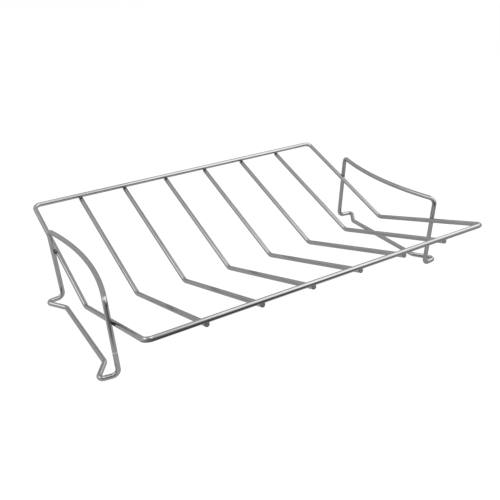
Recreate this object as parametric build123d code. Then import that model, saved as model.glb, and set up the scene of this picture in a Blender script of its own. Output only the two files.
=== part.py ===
"""Roasting rack made of bent round wire, resistance welded where the wires cross.

A closed rim wire carries two level rails and a shallow V at each end. Six V-bent cross wires hang under
the rails and form the cradle. A closed wire frame stands outside each end of the rim: its two legs are
welded to the rim's end wire, its top is the handle, and its toes and base wire lie on the surface below.

Frame: origin on that surface, under the middle of the rack. +X runs along the rails to the right,
+Y runs to the back and +Z up. Sizes are in millimetres and angles in degrees.
"""
import math
import os

from build123d import *

# Wire and welds
wire_diameter = 5.0
weld_set_down = 0.8
cut_end_chamfer = 0.4

# Rim wire, sizes from centre line to centre line
rim_length = 380.0
rim_width = 305.0
rail_height = 83.0
rim_valley_height = 32.0
rim_corner_radius = 7.0
valley_bend_radius = 9.0

# Cross wires
bay_count = 7
valley_sag = 6.4
cross_wire_overhang = 0.8

# Leg frames
leg_spacing = 160.0
leg_lean = 3.2
handle_height = 83.5
handle_sweep = 15.0
handle_corner_radius = 6.0
handle_straight_end = 1.5
ankle_radius = 6.0
toe_reach = 20.0
toe_inset = 2.5
toe_radius = 4.0
base_setback = 4.5
base_wire_length = 111.0
base_corner_radius = 7.0

wire_radius = wire_diameter / 2
weld_drop = wire_diameter - weld_set_down
bay_pitch = rim_length / bay_count


def bent_wire(corners, radii, closed):
    """A round wire along straight runs that meet in arcs of the given centre line radii."""
    centre_line = FilletPolyline(*corners, radius=radii, close=closed)
    pieces = []
    for run in centre_line.edges():
        section = Plane(origin=run @ 0, z_dir=run % 0) * Circle(wire_radius)
        pieces.append(sweep(section, path=run))
    wire = pieces[0].fuse(*pieces[1:])
    return wire.solid()


def valley_height(x):
    """Height of the V's lowest point: it follows a shallow curve, lowest halfway along the rack."""
    share_of_half = 2 * x / rim_length
    return rim_valley_height - valley_sag * (1 - share_of_half**2)


def make_rim_wire():
    """The closed rim: back rail, right end V, front rail and left end V."""
    half_length = rim_length / 2
    half_width = rim_width / 2
    corners = [
        (-half_length, half_width, rail_height),
        (half_length, half_width, rail_height),
        (half_length, 0, rim_valley_height),
        (half_length, -half_width, rail_height),
        (-half_length, -half_width, rail_height),
        (-half_length, 0, rim_valley_height),
    ]
    end_radii = [rim_corner_radius, rim_corner_radius, valley_bend_radius]
    return bent_wire(corners, end_radii * 2, closed=True)


def make_cross_wire(x, rim):
    """One V-bent cross wire at x, let into the undersides of both rails by the weld's set-down."""
    half_width = rim_width / 2
    bottom = valley_height(x)
    slope = math.atan2(rail_height - weld_drop - bottom, half_width)
    end_y = half_width + cross_wire_overhang
    end_z = bottom + end_y * math.tan(slope)
    corners = [(x, end_y, end_z), (x, 0, bottom), (x, -end_y, end_z)]
    wire = bent_wire(corners, [valley_bend_radius], closed=False)
    cut_ends = wire.edges().filter_by(GeomType.CIRCLE).sort_by(Axis.Y)
    wire = chamfer([cut_ends[0], cut_ends[-1]], cut_end_chamfer)
    return (wire - rim).solid()


def make_leg_frame(rim):
    """The right-hand frame: two legs, a handle bowed towards the rack, two toes and the base wire."""
    half_spacing = leg_spacing / 2
    end_wire_rise = (rail_height - rim_valley_height) * leg_spacing / rim_width
    weld_height = rim_valley_height + end_wire_rise
    weld_x = rim_length / 2 + weld_drop
    lean = math.tan(math.radians(leg_lean))
    foot_x = weld_x - (weld_height - wire_radius) * lean
    top_x = weld_x + (handle_height - weld_height) * lean
    base_x = foot_x + base_setback
    toe_x = foot_x + toe_reach
    toe_y = half_spacing - toe_inset
    base_y = base_wire_length / 2

    sweep_angle = math.radians(handle_sweep)
    handle_run = half_spacing / math.cos(sweep_angle)
    bow_radius = (handle_run - handle_corner_radius - handle_straight_end) / math.tan(sweep_angle)
    bow_corner_x = top_x - half_spacing * math.tan(sweep_angle)

    corners = [
        (foot_x, half_spacing, wire_radius),
        (top_x, half_spacing, handle_height),
        (bow_corner_x, 0, handle_height),
        (top_x, -half_spacing, handle_height),
        (foot_x, -half_spacing, wire_radius),
        (toe_x, -toe_y, wire_radius),
        (base_x, -base_y, wire_radius),
        (base_x, base_y, wire_radius),
        (toe_x, toe_y, wire_radius),
    ]
    radii = [
        ankle_radius,
        handle_corner_radius,
        bow_radius,
        handle_corner_radius,
        ankle_radius,
        toe_radius,
        base_corner_radius,
        base_corner_radius,
        toe_radius,
    ]
    frame = bent_wire(corners, radii, closed=True)
    return (frame - rim).solid()


def make_parts():
    """Every wire of the rack by name."""
    rim = make_rim_wire()
    parts = {"rim_wire": rim}
    for number in range(1, bay_count):
        x = number * bay_pitch - rim_length / 2
        parts[f"cross_wire_{number}"] = make_cross_wire(x, rim)
    right_frame = make_leg_frame(rim)
    parts["leg_frame_right"] = right_frame
    parts["leg_frame_left"] = mirror(right_frame, about=Plane.YZ)
    return parts


os.makedirs("parts", exist_ok=True)
for name, solid in make_parts().items():
    export_step(solid, f"parts/{name}.step")
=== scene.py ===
import math

import bpy
import numpy as np
from mathutils import Matrix, Vector


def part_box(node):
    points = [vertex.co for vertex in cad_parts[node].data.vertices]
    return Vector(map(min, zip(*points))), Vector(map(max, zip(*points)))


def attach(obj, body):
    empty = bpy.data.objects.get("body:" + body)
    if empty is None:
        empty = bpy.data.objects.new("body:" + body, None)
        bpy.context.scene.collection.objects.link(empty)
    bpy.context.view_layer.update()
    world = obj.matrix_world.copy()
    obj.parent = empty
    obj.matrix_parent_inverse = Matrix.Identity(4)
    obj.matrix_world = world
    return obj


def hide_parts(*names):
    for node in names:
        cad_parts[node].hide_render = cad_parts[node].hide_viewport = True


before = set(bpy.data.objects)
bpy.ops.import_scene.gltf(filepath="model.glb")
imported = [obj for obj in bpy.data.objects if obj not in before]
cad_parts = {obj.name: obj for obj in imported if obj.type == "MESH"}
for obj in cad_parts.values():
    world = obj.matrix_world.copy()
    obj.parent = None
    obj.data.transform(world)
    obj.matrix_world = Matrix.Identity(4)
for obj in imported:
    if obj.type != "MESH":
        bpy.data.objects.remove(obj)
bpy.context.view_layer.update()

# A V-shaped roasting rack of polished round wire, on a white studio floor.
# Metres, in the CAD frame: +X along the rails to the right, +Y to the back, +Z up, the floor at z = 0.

MM = 0.001

# Sizes that the frame gives
cross_low, cross_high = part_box("cross_wire_1")
rim_low, rim_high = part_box("rim_wire")
leg_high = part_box("leg_frame_right")[1]
wire_radius = (cross_high.x - cross_low.x) / 2
half_length = rim_high.x - wire_radius
half_width = rim_high.y - wire_radius
rail_height = rim_high.z - wire_radius
handle_height = leg_high.z - wire_radius
leg_half_spacing = leg_high.y - wire_radius

# Rim wire and cross wires
bay_count = 7
rim_valley_height = 32 * MM
valley_sag = 6.4 * MM
rim_corner_radius = 7 * MM
valley_bend_radius = 9 * MM
cross_wire_overhang = 0.8 * MM

# Cut ends of the cross wires: the edge's rounding, and the face's dish as a pointed and a bowl-shaped share
cut_edge_radius = 0.4 * MM
cut_dish_point = 0.12 * MM
cut_dish_bowl = 0.08 * MM

# Leg frames
leg_lean = math.tan(math.radians(3.2))
handle_sweep = math.radians(15)
handle_corner_radius = 6 * MM
handle_straight_end = 1.5 * MM
ankle_radius = 6 * MM
toe_reach = 20 * MM
toe_inset = 2.5 * MM
toe_radius = 4 * MM
base_setback = 4.5 * MM
base_half_length = 55.5 * MM
base_corner_radius = 7 * MM

# Welds between crossing wires
weld_drop = 2 * wire_radius - 0.8 * MM
weld_gap = 0.3 * MM
weld_halo = 3.4 * MM
collar_sunk = 0.03 * MM
collar_hollow = 0.55
collar_core = 0.7

# Butt welds of the leg frames
butt_weld_height = 28.5 * MM
butt_weld_swell = 0.07 * MM
butt_weld_width = 0.5 * MM
ground_reach = 1.3 * butt_weld_width

# Mesh steps
side_count = 40
run_step = 2.2 * MM
bend_step = math.radians(5)
cut_edge_steps = 4
cut_face_shares = (0.85, 0.6, 0.3, 0.08)
collar_steps = 40
collar_profile_steps = 5
collar_search_steps = 40
collar_search_reach = wire_radius * 1.6
sharp_edge_angle = math.radians(40)

# Metal tones in linear red, green, blue and alpha. Two tones are the dark and the light one along a wire.
rim_tones = (0.23, 0.23, 0.235, 1), (0.272, 0.272, 0.277, 1)
wire_tones = (0.225, 0.225, 0.23, 1), (0.263, 0.263, 0.268, 1)
# The weld tone is partly the paler metal of the welds and partly painted light that lifts the shade where the wires
# cross.
weld_metal_and_painted_light_tone = (0.46, 0.455, 0.45, 1)
ground_tone = (0.42, 0.42, 0.42, 1)
mirror_edge_tint = (0.65, 0.65, 0.65, 1)

# Floor and world. A strength of 1 is white.
floor_reach = 6.0
floor_tone = (0.84, 0.84, 0.84, 1)
floor_white_share = 0.93
floor_seen = 1.02
floor_mirrored_left = 1.19
floor_mirrored_right = 0.84
floor_gradient_reach = 0.3
world_seen = 1.0
world_mirrored_level = 1.11
world_mirrored_above = 1.13
world_light = 0.45

# Softboxes: name, azimuth, elevation, distance, half size across, half size up, radiance and softness.
# Azimuth is from the front towards the right. Angles and half sizes are in degrees, seen from the rack.
# Softness is the share of each half that fades.
softboxes = [
    ("key_softbox", 79.2, 50.4, 1.66, 25.9, 25, 3.3, 0.2),
    ("front_softbox", 13, 27.6, 1.69, 31.2, 28.7, 3.7, 0.23),
    ("overhead_softbox", -33.7, 81.2, 2.05, 16.5, 29.6, 4.0, 0.5),
    ("left_softbox", 249.7, 41.4, 3.5, 23.6, 15.2, 4.1, 0.59),
    ("right_back_softbox", 114.4, 19.6, 3.5, 12.2, 23, 2.4, 0.33),
    ("left_back_softbox", 217.8, 38.3, 0.95, 15.8, 24.3, 1.37, 0.69),
]

# Dark drape. Each fade has an axis, the place where the drape is clear and the place where it is full.
drape_azimuth = math.radians(-24.4)
drape_near = 0.17
drape_far = 0.33
drape_half_span = 1.3
drape_top = 0.59
drape_lift = 0.2 * MM
drape_strength = 0.2
drape_fades = [("Y", -0.189, -0.217), ("Z", drape_top, 0.12), ("X", -0.41, -0.04), ("X", 0.98, 0.46)]


def unit(vector):
    return vector / np.linalg.norm(vector)


def valley_height(x):
    """Height of the V's lowest point: a shallow curve, lowest halfway along the rack."""
    return rim_valley_height - valley_sag * (1 - (x / half_length) ** 2)


def cross_wire_slope(x):
    """Angle above the horizontal of a cross wire's arms."""
    return math.atan2(rail_height - weld_drop - valley_height(x), half_width)


def centre_line(stops, bend_radii):
    """Points and directions from the first stop to the last, each stop between them rounded to its bend radius."""
    stops = [np.array(stop, float) for stop in stops]
    points, directions = [], []

    def add_run(start, end):
        steps = max(1, math.ceil(np.linalg.norm(end - start) / run_step))
        for step in range(steps):
            points.append(start + (end - start) * step / steps)
            directions.append(unit(end - start))

    run_start = stops[0]
    for corner, following, bend_radius in zip(stops[1:-1], stops[2:], bend_radii):
        incoming = unit(corner - run_start)
        outgoing = unit(following - corner)
        turn = math.acos(incoming @ outgoing)
        setback = bend_radius * math.tan(turn / 2)
        arc_start = corner - incoming * setback
        add_run(run_start, arc_start)
        inward = unit(outgoing - incoming * (incoming @ outgoing))
        centre = arc_start + inward * bend_radius
        steps = math.ceil(max(turn / bend_step, turn * bend_radius / run_step))
        for step in range(steps):
            angle = turn * step / steps
            points.append(centre - inward * bend_radius * math.cos(angle) + incoming * bend_radius * math.sin(angle))
            directions.append(incoming * math.cos(angle) + inward * math.sin(angle))
        run_start = corner + outgoing * setback
    add_run(run_start, stops[-1])
    points.append(stops[-1])
    directions.append(unit(stops[-1] - run_start))
    return points, directions


def side_directions(directions, closed):
    """A direction square to the wire at each point, carried along the wire without twisting."""
    askew = (0.3, 0.5, 0.8)
    side = unit(np.cross(directions[0], askew))
    sides = []
    for direction in directions:
        side = unit(side - direction * (side @ direction))
        sides.append(side)
    if closed:
        first, last = sides[0], sides[-1]
        twist = math.atan2(np.cross(last, first) @ directions[0], last @ first)
        for index, (side, direction) in enumerate(zip(sides, directions)):
            angle = twist * index / (len(sides) - 1)
            sides[index] = side * math.cos(angle) + np.cross(direction, side) * math.sin(angle)
    return sides


def distances_along(points):
    """How far along the wire each point lies."""
    steps = [np.linalg.norm(b - a) for a, b in zip(points, points[1:])]
    return np.concatenate([[0], np.cumsum(steps)])


def new_shape():
    """A mesh in the making.

    It has vertices and faces, each vertex's place on the straight wire and its way round the wire, and the
    numbers of the vertices on cut and on ground metal.
    """
    return {"vertices": [], "faces": [], "places": [], "rounds": [], "cut_vertices": [], "ground_vertices": []}


def add_ring(shape, centre, direction, side, radius, distance):
    """One ring of vertices around the wire. Gives the number of its first vertex."""
    first = len(shape["vertices"])
    up = np.cross(direction, side)
    for index in range(side_count):
        angle = 2 * math.pi * index / side_count
        across, along = math.cos(angle), math.sin(angle)
        shape["vertices"].append(centre + radius * (side * across + up * along))
        shape["places"].append((wire_radius * across, wire_radius * along, distance))
        shape["rounds"].append(up * across - side * along)
    return first


def join_rings(shape, first, second):
    """Quads between two rings that start at these vertex numbers."""
    for index in range(side_count):
        following = (index + 1) % side_count
        shape["faces"].append((first + index, first + following, second + following, second + index))


def add_closed_wire(shape, points, directions, swell):
    """A tube around a closed centre line. It starts at the butt weld, where the wire swells by this height."""
    sides = side_directions(directions, closed=True)
    points, directions, sides = points[:-1], directions[:-1], sides[:-1]
    distances = distances_along(points)
    length = distances[-1] + np.linalg.norm(points[0] - points[-1])
    starts = []
    for point, direction, side, distance in zip(points, directions, sides, distances):
        from_weld = min(distance, length - distance)
        radius = wire_radius + swell * math.exp(-((from_weld / butt_weld_width) ** 2))
        start = add_ring(shape, point, direction, side, radius, distance)
        if swell > 0 and from_weld < ground_reach:
            shape["ground_vertices"] += range(start, start + side_count)
        starts.append(start)
    for first, second in zip(starts, starts[1:] + starts[:1]):
        join_rings(shape, first, second)


def add_cut_end(shape, point, direction, side, distance, outward):
    """Rings that round the edge of a sheared end and close it with a slightly dished face."""
    face_radius = wire_radius - cut_edge_radius
    starts = []
    for step in range(1, cut_edge_steps + 1):
        angle = math.radians(90) * step / cut_edge_steps
        radius = face_radius + cut_edge_radius * math.cos(angle)
        ahead = cut_edge_radius * (math.sin(angle) - 1)
        starts.append(add_ring(shape, point + outward * direction * ahead, direction, side, radius, distance))
    for share in cut_face_shares:
        depth = cut_dish_point * (1 - share) ** 2 + cut_dish_bowl * (1 - share**2)
        start = add_ring(shape, point - outward * direction * depth, direction, side, face_radius * share, distance)
        shape["cut_vertices"] += range(start, start + side_count)
        starts.append(start)
    return starts


def add_cut_wire(shape, points, directions):
    """A tube around an open centre line, with sheared ends."""
    sides = side_directions(directions, closed=False)
    distances = distances_along(points)
    starts = add_cut_end(shape, points[0], directions[0], sides[0], 0, outward=-1)[::-1]
    inner_first = points[0] + directions[0] * cut_edge_radius
    starts.append(add_ring(shape, inner_first, directions[0], sides[0], wire_radius, 0))
    for index in range(1, len(points) - 1):
        starts.append(add_ring(shape, points[index], directions[index], sides[index], wire_radius, distances[index]))
    inner_last = points[-1] - directions[-1] * cut_edge_radius
    starts.append(add_ring(shape, inner_last, directions[-1], sides[-1], wire_radius, distances[-1]))
    starts += add_cut_end(shape, points[-1], directions[-1], sides[-1], distances[-1], outward=1)
    for first, second in zip(starts, starts[1:]):
        join_rings(shape, first, second)
    shape["faces"].append(tuple(starts[0] + index for index in range(side_count))[::-1])
    shape["faces"].append(tuple(starts[-1] + index for index in range(side_count)))


def crossing(point_a, direction_a, point_b, direction_b):
    """Where wire b passes wire a: the nearest point on a, the direction from a to b, and the distance."""
    normal = unit(np.cross(direction_a, direction_b))
    between = point_b - point_a
    if between @ normal < 0:
        normal = -normal
    distance = between @ normal
    across_b = np.cross(direction_b, normal)
    nearest = point_a + direction_a * ((between @ across_b) / (direction_a @ across_b))
    return nearest, normal, distance


def weld_middle(point_a, direction_a, point_b, direction_b):
    nearest, normal, distance = crossing(point_a, direction_a, point_b, direction_b)
    return nearest + normal * distance / 2


def add_weld_collar(shape, point_a, direction_a, point_b, direction_b):
    """The metal squeezed out around a resistance weld: a closed ring, hollow towards the outside, in the notch."""
    nearest, normal, distance = crossing(point_a, direction_a, point_b, direction_b)
    base = len(shape["vertices"])
    profile_count = collar_profile_steps + 2

    def surface_heights(away, reach):
        """Heights of wire a's top and wire b's underside above wire a's axis, reach away from the weld's middle."""
        from_a = reach * np.linalg.norm(np.cross(away, direction_a))
        from_b = reach * np.linalg.norm(np.cross(away, direction_b))
        top = math.sqrt(max(wire_radius**2 - from_a**2, 0))
        underside = distance - math.sqrt(max(wire_radius**2 - from_b**2, 0))
        return top, underside

    def reach_of_gap(away, gap):
        """How far out the two surfaces stand this gap apart."""
        low, high = 0.0, collar_search_reach
        for _ in range(collar_search_steps):
            middle = (low + high) / 2
            top, underside = surface_heights(away, middle)
            if underside - top < gap:
                low = middle
            else:
                high = middle
        return low

    for index in range(collar_steps):
        angle = 2 * math.pi * index / collar_steps
        away = direction_a * math.cos(angle) + np.cross(normal, direction_a) * math.sin(angle)
        inner = reach_of_gap(away, 0)
        outer = reach_of_gap(away, weld_gap)
        top, underside = surface_heights(away, outer)
        profile = []
        for step in range(collar_profile_steps + 1):
            share = step / collar_profile_steps
            height = (top - collar_sunk) + (underside - top + 2 * collar_sunk) * share
            reach = outer - (outer - inner) * collar_hollow * math.sin(math.pi * share)
            profile.append((reach, height))
        profile.append((inner * collar_core, sum(surface_heights(away, inner * collar_core)) / 2))
        for reach, height in profile:
            vertex = nearest + away * reach + normal * height
            vertex[1] = np.clip(vertex[1], rim_low.y, rim_high.y)
            shape["vertices"].append(vertex)
            shape["places"].append(tuple(vertex))
            shape["rounds"].append(np.cross(normal, away))
    for index in range(collar_steps):
        this = base + index * profile_count
        following = base + (index + 1) % collar_steps * profile_count
        for step in range(profile_count):
            above = (step + 1) % profile_count
            shape["faces"].append((this + step, following + step, following + above, this + above))


def weld_nearness(vertices, weld_points):
    """For each vertex 1 at a weld, falling to 0 at the edge of its halo."""
    nearness = np.zeros(len(vertices))
    for weld_point in weld_points:
        from_weld = np.linalg.norm(vertices - weld_point, axis=1)
        nearness = np.maximum(nearness, np.clip(1 - from_weld / weld_halo, 0, 1))
    return nearness


def carry_values(mesh, name, kind, field, values):
    """Gives the mesh a value at each vertex, for its material."""
    attribute = mesh.attributes.new(name, kind, "POINT")
    attribute.data.foreach_set(field, np.array(values, np.float32).ravel())


def make_piece(name, node, shape, material, weld_points):
    """The shape as a piece that rides on the body and stands for its CAD node."""
    mesh = bpy.data.meshes.new(name)
    mesh.from_pydata([tuple(vertex) for vertex in shape["vertices"]], [], shape["faces"])
    mesh.polygons.foreach_set("use_smooth", [True] * len(mesh.polygons))
    mesh.set_sharp_from_angle(angle=sharp_edge_angle)
    vertices = np.array(shape["vertices"])
    carry_values(mesh, "wire_place", "FLOAT_VECTOR", "vector", shape["places"])
    carry_values(mesh, "wire_round", "FLOAT_VECTOR", "vector", shape["rounds"])
    carry_values(mesh, "weld_nearness", "FLOAT", "value", weld_nearness(vertices, weld_points))
    for mark in ("cut", "ground"):
        marked = np.zeros(len(vertices))
        marked[shape[f"{mark}_vertices"]] = 1
        carry_values(mesh, f"{mark}_metal", "FLOAT", "value", marked)
    mesh.update()
    mesh.materials.append(material)
    piece = bpy.data.objects.new(name, mesh)
    bpy.context.scene.collection.objects.link(piece)
    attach(piece, "root")
    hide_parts(node)


def cross_wire_place(number):
    return number * 2 * half_length / bay_count - half_length


def end_wire_slope():
    return math.atan2(rail_height - rim_valley_height, half_width)


def leg_x(height):
    """Distance of a leg's centre line from the middle of the rack, at a height."""
    weld_height = rim_valley_height + leg_half_spacing * math.tan(end_wire_slope())
    return half_length + weld_drop + (height - weld_height) * leg_lean


def rail_welds(number):
    """The crossings of a cross wire with the front and the back rail: point and direction of each wire."""
    x = cross_wire_place(number)
    slope = cross_wire_slope(x)
    for side in (-1, 1):
        rail_point = np.array((x, side * half_width, rail_height))
        valley_point = np.array((x, 0, valley_height(x)))
        arm = np.array((0, side * math.cos(slope), math.sin(slope)))
        yield rail_point, np.array((1.0, 0, 0)), valley_point, arm


def leg_welds(end):
    """The crossings of the legs with the rim's end wire, at the right end (1) or the left end (-1)."""
    for side in (-1, 1):
        valley_point = np.array((end * half_length, 0, rim_valley_height))
        end_wire = np.array((0, side * math.cos(end_wire_slope()), math.sin(end_wire_slope())))
        foot = np.array((end * leg_x(wire_radius), side * leg_half_spacing, wire_radius))
        top = np.array((end * leg_x(handle_height), side * leg_half_spacing, handle_height))
        yield valley_point, end_wire, foot, unit(top - foot)


def make_rim(material):
    """The closed rim wire, with its ends joined flush in the back rail."""
    start = (0, half_width, rail_height)
    corners = [
        (half_length, half_width, rail_height),
        (half_length, 0, rim_valley_height),
        (half_length, -half_width, rail_height),
        (-half_length, -half_width, rail_height),
        (-half_length, 0, rim_valley_height),
        (-half_length, half_width, rail_height),
    ]
    end_radii = [rim_corner_radius, valley_bend_radius, rim_corner_radius]
    points, directions = centre_line([start, *corners, start], end_radii * 2)
    shape = new_shape()
    add_closed_wire(shape, points, directions, swell=0)
    welds = [weld_middle(*weld) for number in range(1, bay_count) for weld in rail_welds(number)]
    welds += [weld_middle(*weld) for end in (-1, 1) for weld in leg_welds(end)]
    make_piece("polished_rim_wire", "rim_wire", shape, material, welds)


def make_cross_wire(number, material):
    """One bent cross wire, with its two sheared ends and the collars of its two welds."""
    x = cross_wire_place(number)
    end_y = half_width + cross_wire_overhang
    end_z = valley_height(x) + end_y * math.tan(cross_wire_slope(x))
    stops = [(x, end_y, end_z), (x, 0, valley_height(x)), (x, -end_y, end_z)]
    points, directions = centre_line(stops, [valley_bend_radius])
    shape = new_shape()
    add_cut_wire(shape, points, directions)
    for weld in rail_welds(number):
        add_weld_collar(shape, *weld)
    welds = [weld_middle(*weld) for weld in rail_welds(number)]
    make_piece(f"polished_cross_wire_{number}", f"cross_wire_{number}", shape, material, welds)


def leg_frame_line(end):
    """Centre line of an end frame from its butt weld round to it again, at the right end (1) or the left end (-1).

    The frames mirror each other. Both butt welds are on the front leg, and the front rail hides the right one
    in the photo.
    """
    foot_x = leg_x(wire_radius)
    top_x = leg_x(handle_height)
    toe_y = leg_half_spacing - toe_inset
    bow_corner_x = top_x - leg_half_spacing * math.tan(handle_sweep)
    handle_run = leg_half_spacing / math.cos(handle_sweep)
    bow_radius = (handle_run - handle_corner_radius - handle_straight_end) / math.tan(handle_sweep)
    butt_weld = (leg_x(butt_weld_height), leg_half_spacing, butt_weld_height)
    stops = [
        butt_weld,
        (top_x, leg_half_spacing, handle_height),
        (bow_corner_x, 0, handle_height),
        (top_x, -leg_half_spacing, handle_height),
        (foot_x, -leg_half_spacing, wire_radius),
        (foot_x + toe_reach, -toe_y, wire_radius),
        (foot_x + base_setback, -base_half_length, wire_radius),
        (foot_x + base_setback, base_half_length, wire_radius),
        (foot_x + toe_reach, toe_y, wire_radius),
        (foot_x, leg_half_spacing, wire_radius),
        butt_weld,
    ]
    radii = [
        handle_corner_radius, bow_radius, handle_corner_radius, ankle_radius, toe_radius,
        base_corner_radius, base_corner_radius, toe_radius, ankle_radius,
    ]
    to_the_end = np.array((end, -1, 1))
    return centre_line([to_the_end * stop for stop in np.array(stops)], radii)


def refine_butt_weld(points, directions):
    """Closer points on both sides of the butt weld, so that its swelling is round."""
    offsets = [share * butt_weld_width for share in (0.4, 0.8, 1.2, 1.6, 2.0, 2.6)]
    after = [points[0] + directions[0] * offset for offset in offsets]
    before = [points[-1] - directions[-1] * offset for offset in reversed(offsets)]
    points = [points[0], *after, *points[1:-1], *before, points[-1]]
    count = len(offsets)
    directions = [directions[0]] * (count + 1) + directions[1:-1] + [directions[-1]] * (count + 1)
    return points, directions


def make_leg_frame(end, side_word, material):
    """One end frame: legs, handle, toes and base wire, with the collars of its two welds and its butt weld."""
    points, directions = refine_butt_weld(*leg_frame_line(end))
    shape = new_shape()
    add_closed_wire(shape, points, directions, butt_weld_swell)
    for weld in leg_welds(end):
        add_weld_collar(shape, *weld)
    welds = [weld_middle(*weld) for weld in leg_welds(end)]
    make_piece(f"polished_leg_frame_{side_word}", f"leg_frame_{side_word}", shape, material, welds)


def feed(links, value, socket):
    """Links another node's output to the socket, or sets a plain number or colour on it."""
    if isinstance(value, bpy.types.NodeSocket):
        links.new(value, socket)
    else:
        socket.default_value = value


def math_node(nodes, links, operation, first, second=0):
    """A sum, product or other operation on two sockets or numbers."""
    made = nodes.new("ShaderNodeMath")
    made.operation = operation
    feed(links, first, made.inputs[0])
    feed(links, second, made.inputs[1])
    return made.outputs["Value"]


def mix_node(nodes, links, kind, share, first, second):
    """The first number (kind FLOAT) or colour (kind RGBA) where the share is 0, the second where it is 1."""
    mix = nodes.new("ShaderNodeMix")
    mix.data_type = kind
    feed(links, share, mix.inputs["Factor"])
    feed(links, first, mix.inputs["A"])
    feed(links, second, mix.inputs["B"])
    return mix.outputs["Result"]


def range_node(nodes, links, value, from_low, from_high, to_low, to_high):
    """The value carried from one range to another, and held to the second."""
    mapped = nodes.new("ShaderNodeMapRange")
    mapped.inputs["From Min"].default_value = from_low
    mapped.inputs["From Max"].default_value = from_high
    mapped.inputs["To Min"].default_value = to_low
    mapped.inputs["To Max"].default_value = to_high
    links.new(value, mapped.inputs["Value"])
    return mapped.outputs["Result"]


def noise_node(nodes, links, vector, scale, detail):
    """Noise in the wire's own coordinates: scale is across, across and along the wire, in cycles a metre."""
    mapping = nodes.new("ShaderNodeMapping")
    mapping.inputs["Scale"].default_value = scale
    links.new(vector, mapping.inputs["Vector"])
    noise = nodes.new("ShaderNodeTexNoise")
    noise.inputs["Scale"].default_value = 1.0
    noise.inputs["Detail"].default_value = detail
    links.new(mapping.outputs["Vector"], noise.inputs["Vector"])
    return noise.outputs["Fac"]


def bump_node(nodes, links, height, strength, distance, under=None):
    """The surface's normal with bumps of this height pattern, over the bumps under it."""
    bump = nodes.new("ShaderNodeBump")
    bump.inputs["Strength"].default_value = strength
    bump.inputs["Distance"].default_value = distance
    links.new(height, bump.inputs["Height"])
    if under:
        links.new(under, bump.inputs["Normal"])
    return bump.outputs["Normal"]


def carried_value(nodes, name, output):
    """A value that the mesh carries at each vertex."""
    attribute = nodes.new("ShaderNodeAttribute")
    attribute.attribute_name = name
    return attribute.outputs[output]


def place_sockets(nodes, links, kind):
    """X, Y and Z of a place on the object (kind Object) or of a direction in the world (kind Generated)."""
    place = nodes.new("ShaderNodeTexCoord")
    split = nodes.new("ShaderNodeSeparateXYZ")
    links.new(place.outputs[kind], split.inputs["Vector"])
    return split.outputs


def wire_colour(nodes, links, tones, polish, handling, weld):
    """Uneven tones along the wire, paler metal on the ground butt weld, and at the welds paler metal that is partly
    painted light, lifting the shade where the wires cross.
    """
    unevenness = math_node(nodes, links, "ADD", polish, handling)
    light_share = range_node(nodes, links, unevenness, 0.7, 1.3, 0.0, 1.0)
    drawn = mix_node(nodes, links, "RGBA", light_share, *tones)
    # Painted light: the welds' paler tone also lifts the shade where the wires cross.
    weld_and_painted_light_share = math_node(nodes, links, "MULTIPLY", weld, 0.8)
    welded = mix_node(nodes, links, "RGBA", weld_and_painted_light_share, drawn, weld_metal_and_painted_light_tone)
    return mix_node(nodes, links, "RGBA", carried_value(nodes, "ground_metal", "Fac"), welded, ground_tone)


def wire_roughness(nodes, links, polish, draw_lines, weld):
    """Close to a mirror, rougher on the draw lines, at the welds and on the sheared ends."""
    polished = range_node(nodes, links, polish, 0.3, 0.7, 0.05, 0.1)
    lined = range_node(nodes, links, draw_lines, 0.35, 0.75, 0.0, 0.03)
    welded = math_node(nodes, links, "MULTIPLY", weld, 0.25)
    sheared = math_node(nodes, links, "MULTIPLY", carried_value(nodes, "cut_metal", "Fac"), 0.45)
    roughness = math_node(nodes, links, "ADD", polished, lined)
    roughness = math_node(nodes, links, "ADD", roughness, welded)
    return math_node(nodes, links, "ADD", roughness, sheared)


def wire_normal(nodes, links, die_lines, draw_lines, grain, weld):
    """Shallow die lines, finer draw lines over them, and ripples on the weld metal."""
    die_bumps = bump_node(nodes, links, die_lines, 1.0, 0.008 * MM)
    line_bumps = bump_node(nodes, links, draw_lines, 0.6, 0.003 * MM, die_bumps)
    ripples = math_node(nodes, links, "MULTIPLY", grain, weld)
    return bump_node(nodes, links, ripples, 0.7, 0.08 * MM, line_bumps)


def polished_wire_material(name, tones, shift):
    """Bright drawn steel with fine lines along the wire, uneven polish, and paler, rougher metal at the welds, whose
    paler tone is partly painted light over the shade where the wires cross.

    The shift, in metres, moves the pattern, so that no two kinds of wire have the same one.
    """
    material = bpy.data.materials.new(name)
    material.use_nodes = True
    nodes, links = material.node_tree.nodes, material.node_tree.links
    shader = nodes["Principled BSDF"]
    shader.inputs["Metallic"].default_value = 1.0
    shader.inputs["Specular Tint"].default_value = mirror_edge_tint
    shader.inputs["Anisotropic"].default_value = 0.3
    links.new(carried_value(nodes, "wire_round", "Vector"), shader.inputs["Tangent"])

    moved = nodes.new("ShaderNodeVectorMath")
    moved.operation = "ADD"
    moved.inputs[1].default_value = (shift, shift, shift)
    links.new(carried_value(nodes, "wire_place", "Vector"), moved.inputs[0])
    place = moved.outputs["Vector"]
    draw_lines = noise_node(nodes, links, place, (5200, 5200, 45), 3)
    die_lines = noise_node(nodes, links, place, (900, 900, 9), 2)
    polish = noise_node(nodes, links, place, (420, 420, 95), 3)
    handling = noise_node(nodes, links, place, (120, 120, 22), 2)
    grain = noise_node(nodes, links, place, (900, 900, 900), 4)

    ragged_edge = math_node(nodes, links, "MULTIPLY", grain, 0.45)
    weld_spread = math_node(nodes, links, "ADD", carried_value(nodes, "weld_nearness", "Fac"), ragged_edge)
    weld = range_node(nodes, links, weld_spread, 0.5, 1.1, 0.0, 1.0)

    links.new(wire_colour(nodes, links, tones, polish, handling, weld), shader.inputs["Base Color"])
    links.new(wire_roughness(nodes, links, polish, draw_lines, weld), shader.inputs["Roughness"])
    links.new(wire_normal(nodes, links, die_lines, draw_lines, grain, weld), shader.inputs["Normal"])
    return material


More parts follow.
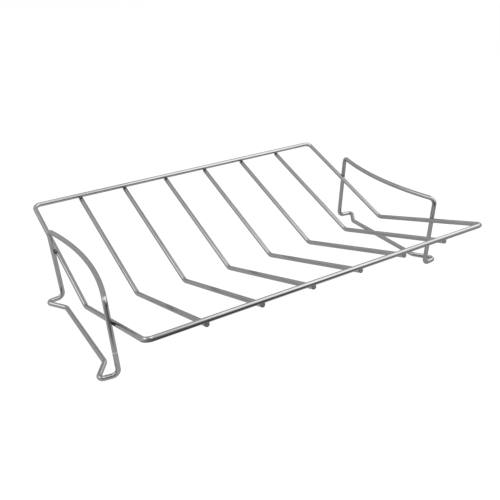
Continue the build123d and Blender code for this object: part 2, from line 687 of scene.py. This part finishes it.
def blank_material(name):
    """A new material with its nodes, its links and the socket of its surface, and nothing on that yet."""
    material = bpy.data.materials.new(name)
    material.use_nodes = True
    nodes, links = material.node_tree.nodes, material.node_tree.links
    nodes.clear()
    output = nodes.new("ShaderNodeOutputMaterial")
    return material, nodes, links, output.inputs["Surface"]


def mix_shaders(nodes, links, share, first, second, surface):
    """Gives the surface the first shader where the share is 0 and the second where it is 1."""
    mix = nodes.new("ShaderNodeMixShader")
    links.new(share, mix.inputs["Fac"])
    links.new(first, mix.inputs[1])
    links.new(second, mix.inputs[2])
    links.new(mix.outputs["Shader"], surface)


def background_share(nodes, links):
    """1 for the rays that show the background: camera, glossy and transmission rays."""
    path = nodes.new("ShaderNodeLightPath")
    share = math_node(nodes, links, "MAXIMUM", path.outputs["Is Camera Ray"], path.outputs["Is Glossy Ray"])
    return math_node(nodes, links, "MAXIMUM", share, path.outputs["Is Transmission Ray"])


def make_stage_object(name, corners, faces, material):
    """A floor, panel or drape: part of the studio, not of the rack."""
    mesh = bpy.data.meshes.new(name)
    mesh.from_pydata(corners, [], faces)
    mesh.materials.append(material)
    stage_object = bpy.data.objects.new(name, mesh)
    bpy.context.scene.collection.objects.link(stage_object)
    return stage_object


def square_corners(half_side):
    return [(x * half_side, y * half_side, 0) for x, y in ((-1, -1), (1, -1), (1, 1), (-1, 1))]


def make_floor():
    """A pale floor, white where it is seen or mirrored, with the rack's faint soft shadow on it.

    The metal mirrors it a little brighter on the left than on the right, as lit from the left.
    """
    material, nodes, links, surface = blank_material("floor_white")
    plain = nodes.new("ShaderNodeBsdfDiffuse")
    plain.inputs["Color"].default_value = floor_tone
    white = nodes.new("ShaderNodeEmission")
    path = nodes.new("ShaderNodeLightPath")
    place = place_sockets(nodes, links, "Object")
    mirrored = range_node(
        nodes, links, place["X"],
        -floor_gradient_reach, floor_gradient_reach, floor_mirrored_left, floor_mirrored_right,
    )
    strength = mix_node(nodes, links, "FLOAT", path.outputs["Is Camera Ray"], mirrored, floor_seen)
    links.new(strength, white.inputs["Strength"])
    white_share = math_node(nodes, links, "MULTIPLY", background_share(nodes, links), floor_white_share)
    mix_shaders(nodes, links, white_share, plain.outputs["BSDF"], white.outputs["Emission"], surface)
    make_stage_object("studio_floor", square_corners(floor_reach), [(0, 1, 2, 3)], material)


def make_world():
    """Even pale surroundings, a little brighter overhead, and plain white behind the rack."""
    world = bpy.data.worlds.new("studio")
    bpy.context.scene.world = world
    world.use_nodes = True
    nodes, links = world.node_tree.nodes, world.node_tree.links
    background = nodes["Background"]
    background.inputs["Color"].default_value = (1, 1, 1, 1)
    path = nodes.new("ShaderNodeLightPath")
    direction = place_sockets(nodes, links, "Generated")
    mirrored = range_node(nodes, links, direction["Z"], 0.0, 0.5, world_mirrored_level, world_mirrored_above)
    strength = mix_node(nodes, links, "FLOAT", background_share(nodes, links), world_light, mirrored)
    strength = mix_node(nodes, links, "FLOAT", path.outputs["Is Camera Ray"], strength, world_seen)
    links.new(strength, background.inputs["Strength"])


def fading_glow_material(name, strength, fades):
    """A material that glows at this strength and fades to clear.

    Each fade has an axis, the place where the glow is gone and the place where it is full.
    """
    material, nodes, links, surface = blank_material(name)
    place = place_sockets(nodes, links, "Object")
    shares = [range_node(nodes, links, place[axis], gone_at, full_at, 0.0, 1.0) for axis, gone_at, full_at in fades]
    share = shares[0]
    for other_share in shares[1:]:
        share = math_node(nodes, links, "MULTIPLY", share, other_share)
    glow = nodes.new("ShaderNodeEmission")
    glow.inputs["Strength"].default_value = strength
    clear = nodes.new("ShaderNodeBsdfTransparent")
    mix_shaders(nodes, links, share, clear.outputs["BSDF"], glow.outputs["Emission"], surface)
    return material


def make_softbox(name, azimuth, elevation, distance, half_across, half_up, radiance, softness):
    """A light panel that faces the rack and fades towards its edges, unseen by the camera."""
    fades = [(axis, edge, edge * (1 - softness)) for axis in ("X", "Y") for edge in (-1, 1)]
    material = fading_glow_material(name, radiance, fades)
    panel = make_stage_object(name, square_corners(1), [(0, 1, 2, 3)], material)
    across, above = math.radians(azimuth), math.radians(elevation)
    outward = Vector((math.sin(across) * math.cos(above), -math.cos(across) * math.cos(above), math.sin(above)))
    reach = [distance * math.tan(math.radians(half)) for half in (half_across, half_up)]
    panel.matrix_world = (
        Matrix.Translation(Vector((0, 0, rail_height)) + outward * distance)
        @ (-outward).to_track_quat("Z", "Y").to_matrix().to_4x4()
        @ Matrix.Diagonal((*reach, 1, 1))
    )
    panel.visible_camera = False
    panel.visible_shadow = False


def make_dark_drape():
    """Dark cloth on the floor on the camera's side, turned up at the far end. Only the polished metal mirrors it."""
    near, far, span = -drape_near, -drape_far, drape_half_span
    corners = [
        (-span, near, drape_lift), (span, near, drape_lift),
        (span, far, drape_lift), (-span, far, drape_lift),
        (span, far, drape_top), (-span, far, drape_top),
    ]
    material = fading_glow_material("dark_drape", drape_strength, drape_fades)
    drape = make_stage_object("dark_drape", corners, [(0, 1, 2, 3), (3, 2, 4, 5)], material)
    drape.matrix_world = Matrix.Rotation(drape_azimuth, 4, "Z")
    drape.visible_camera = False
    drape.visible_diffuse = False
    drape.visible_shadow = False


def make_camera():
    """The photograph's viewpoint."""
    azimuth = math.radians(-31.433)
    elevation = math.radians(28.067)
    roll = math.radians(-0.749)
    camera_distance = 0.74765
    target = Vector((0, 0, 0.040))
    back = Vector((
        math.sin(azimuth) * math.cos(elevation),
        -math.cos(azimuth) * math.cos(elevation),
        math.sin(elevation),
    ))
    level_right = Vector((math.cos(azimuth), math.sin(azimuth), 0))
    level_up = back.cross(level_right)
    right = level_right * math.cos(roll) + level_up * math.sin(roll)
    up = level_up * math.cos(roll) - level_right * math.sin(roll)
    data = bpy.data.cameras.new("camera")
    data.sensor_width = 36
    data.lens = 48.505
    data.clip_start = 0.01
    data.clip_end = 100
    camera = bpy.data.objects.new("camera", data)
    bpy.context.scene.collection.objects.link(camera)
    turn = Matrix((right, up, back)).transposed().to_4x4()
    camera.matrix_world = Matrix.Translation(target + back * camera_distance) @ turn
    bpy.context.scene.camera = camera


make_camera()
make_rim(polished_wire_material("polished_rim_wire", rim_tones, shift=0.0))
cross_material = polished_wire_material("polished_cross_wires", wire_tones, shift=0.37)
for number in range(1, bay_count):
    make_cross_wire(number, cross_material)
leg_material = polished_wire_material("polished_leg_frames", wire_tones, shift=0.71)
make_leg_frame(1, "right", leg_material)
make_leg_frame(-1, "left", leg_material)
make_floor()
make_world()
for softbox in softboxes:
    make_softbox(*softbox)
make_dark_drape()

bpy.context.scene.view_settings.view_transform = "Standard"
